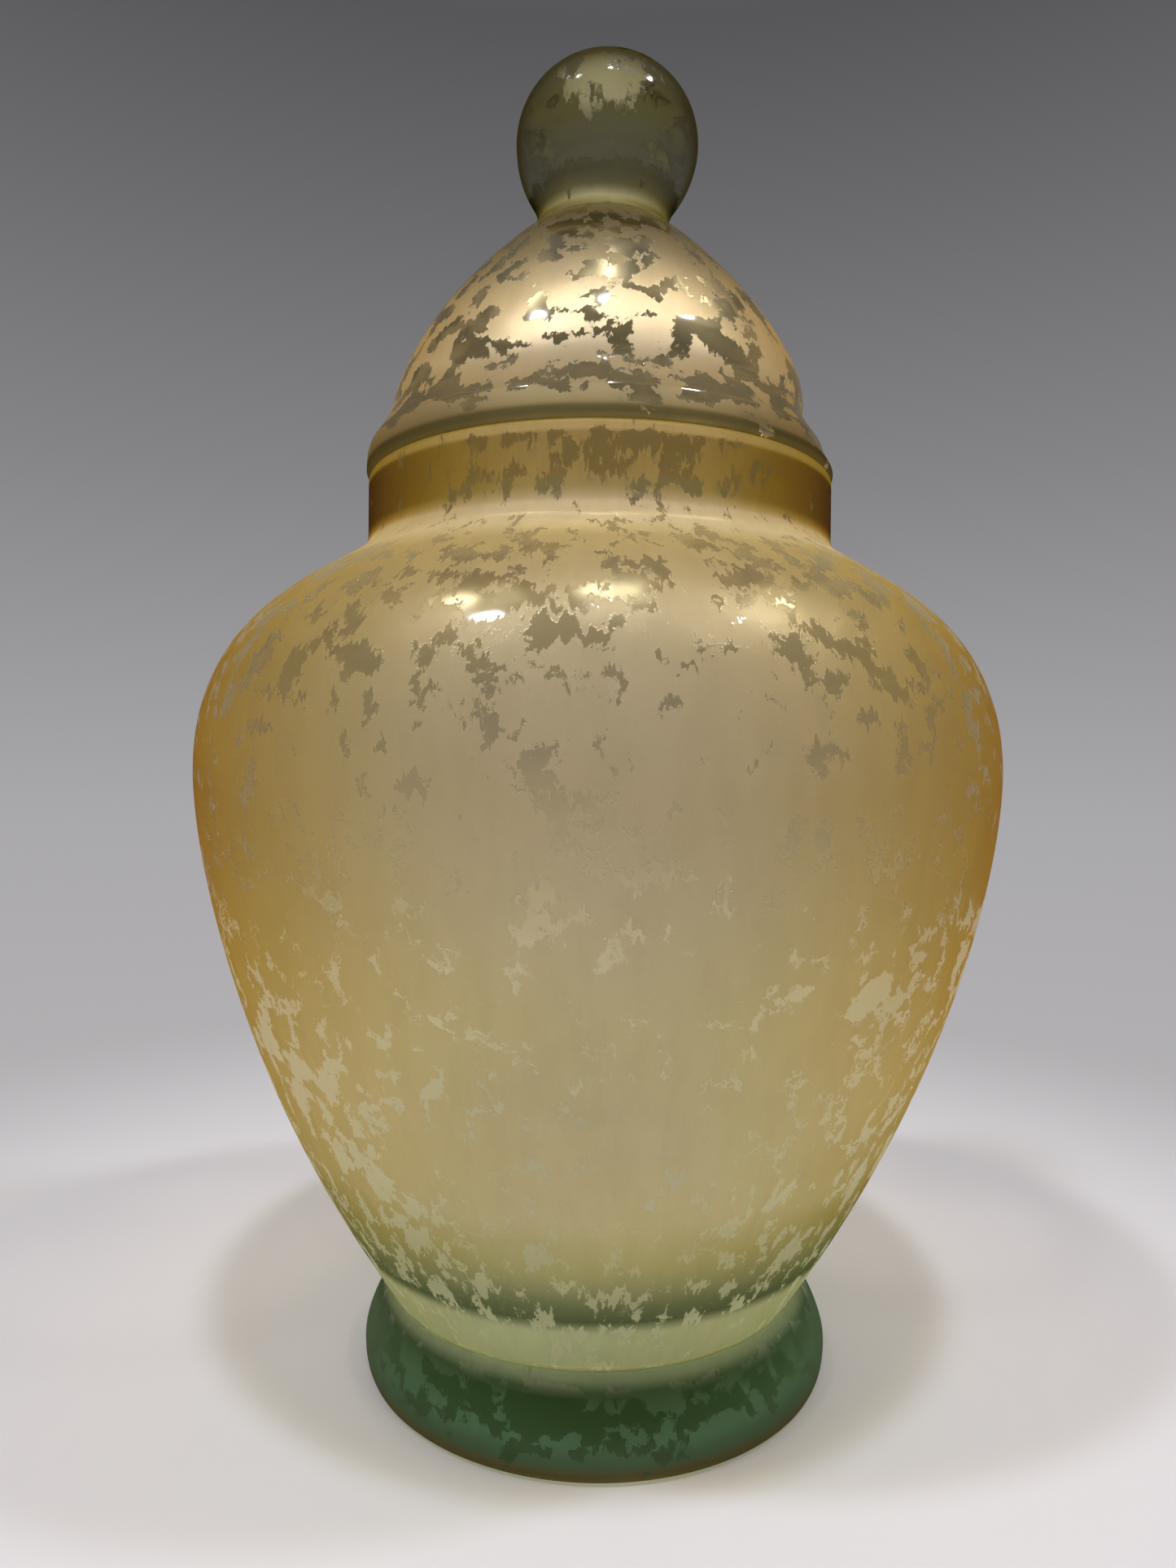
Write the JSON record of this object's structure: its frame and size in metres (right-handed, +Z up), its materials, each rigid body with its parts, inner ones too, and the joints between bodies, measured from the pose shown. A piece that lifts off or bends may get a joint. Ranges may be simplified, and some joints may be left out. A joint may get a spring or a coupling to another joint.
{
  "type": "lidded glass jar",
  "caption": "Large ginger-jar-shaped blown glass jar on a thick solid foot, with a domed lift-off lid, an inner locating collar and a ball knob.",
  "frame": {"origin": "centre of the circle the foot stands on, at rest on a level surface", "axes": "+Z up along the jar's axis of revolution, from the foot to the knob; -Y is the side seen from the front, and the shape is the same all round"},
  "size_m": [0.1918, 0.1918, 0.321],
  "materials": {
    "bowl_glass": "frosted amber glass with clear patches, turning green low down",
    "foot_glass": "thick green glass under a frosted skin with clear patches",
    "lid_glass": "frosted pale amber glass with clear patches",
    "collar_glass": "frosted pale amber glass",
    "knob_glass": "solid olive glass, mostly clear and glossy"
  },
  "bodies": {
    "jar": {"jar_body": "bowl_glass", "foot": "foot_glass"},
    "lid": {"lid_dome": "lid_glass", "lid_collar": "collar_glass", "knob": "knob_glass"}
  },
  "joints": [
    {"name": "lid_lift", "type": "slide", "parent": "jar", "child": "lid", "axis": [0, 0, 1], "range_m": [0, 0.12]}
  ]
}
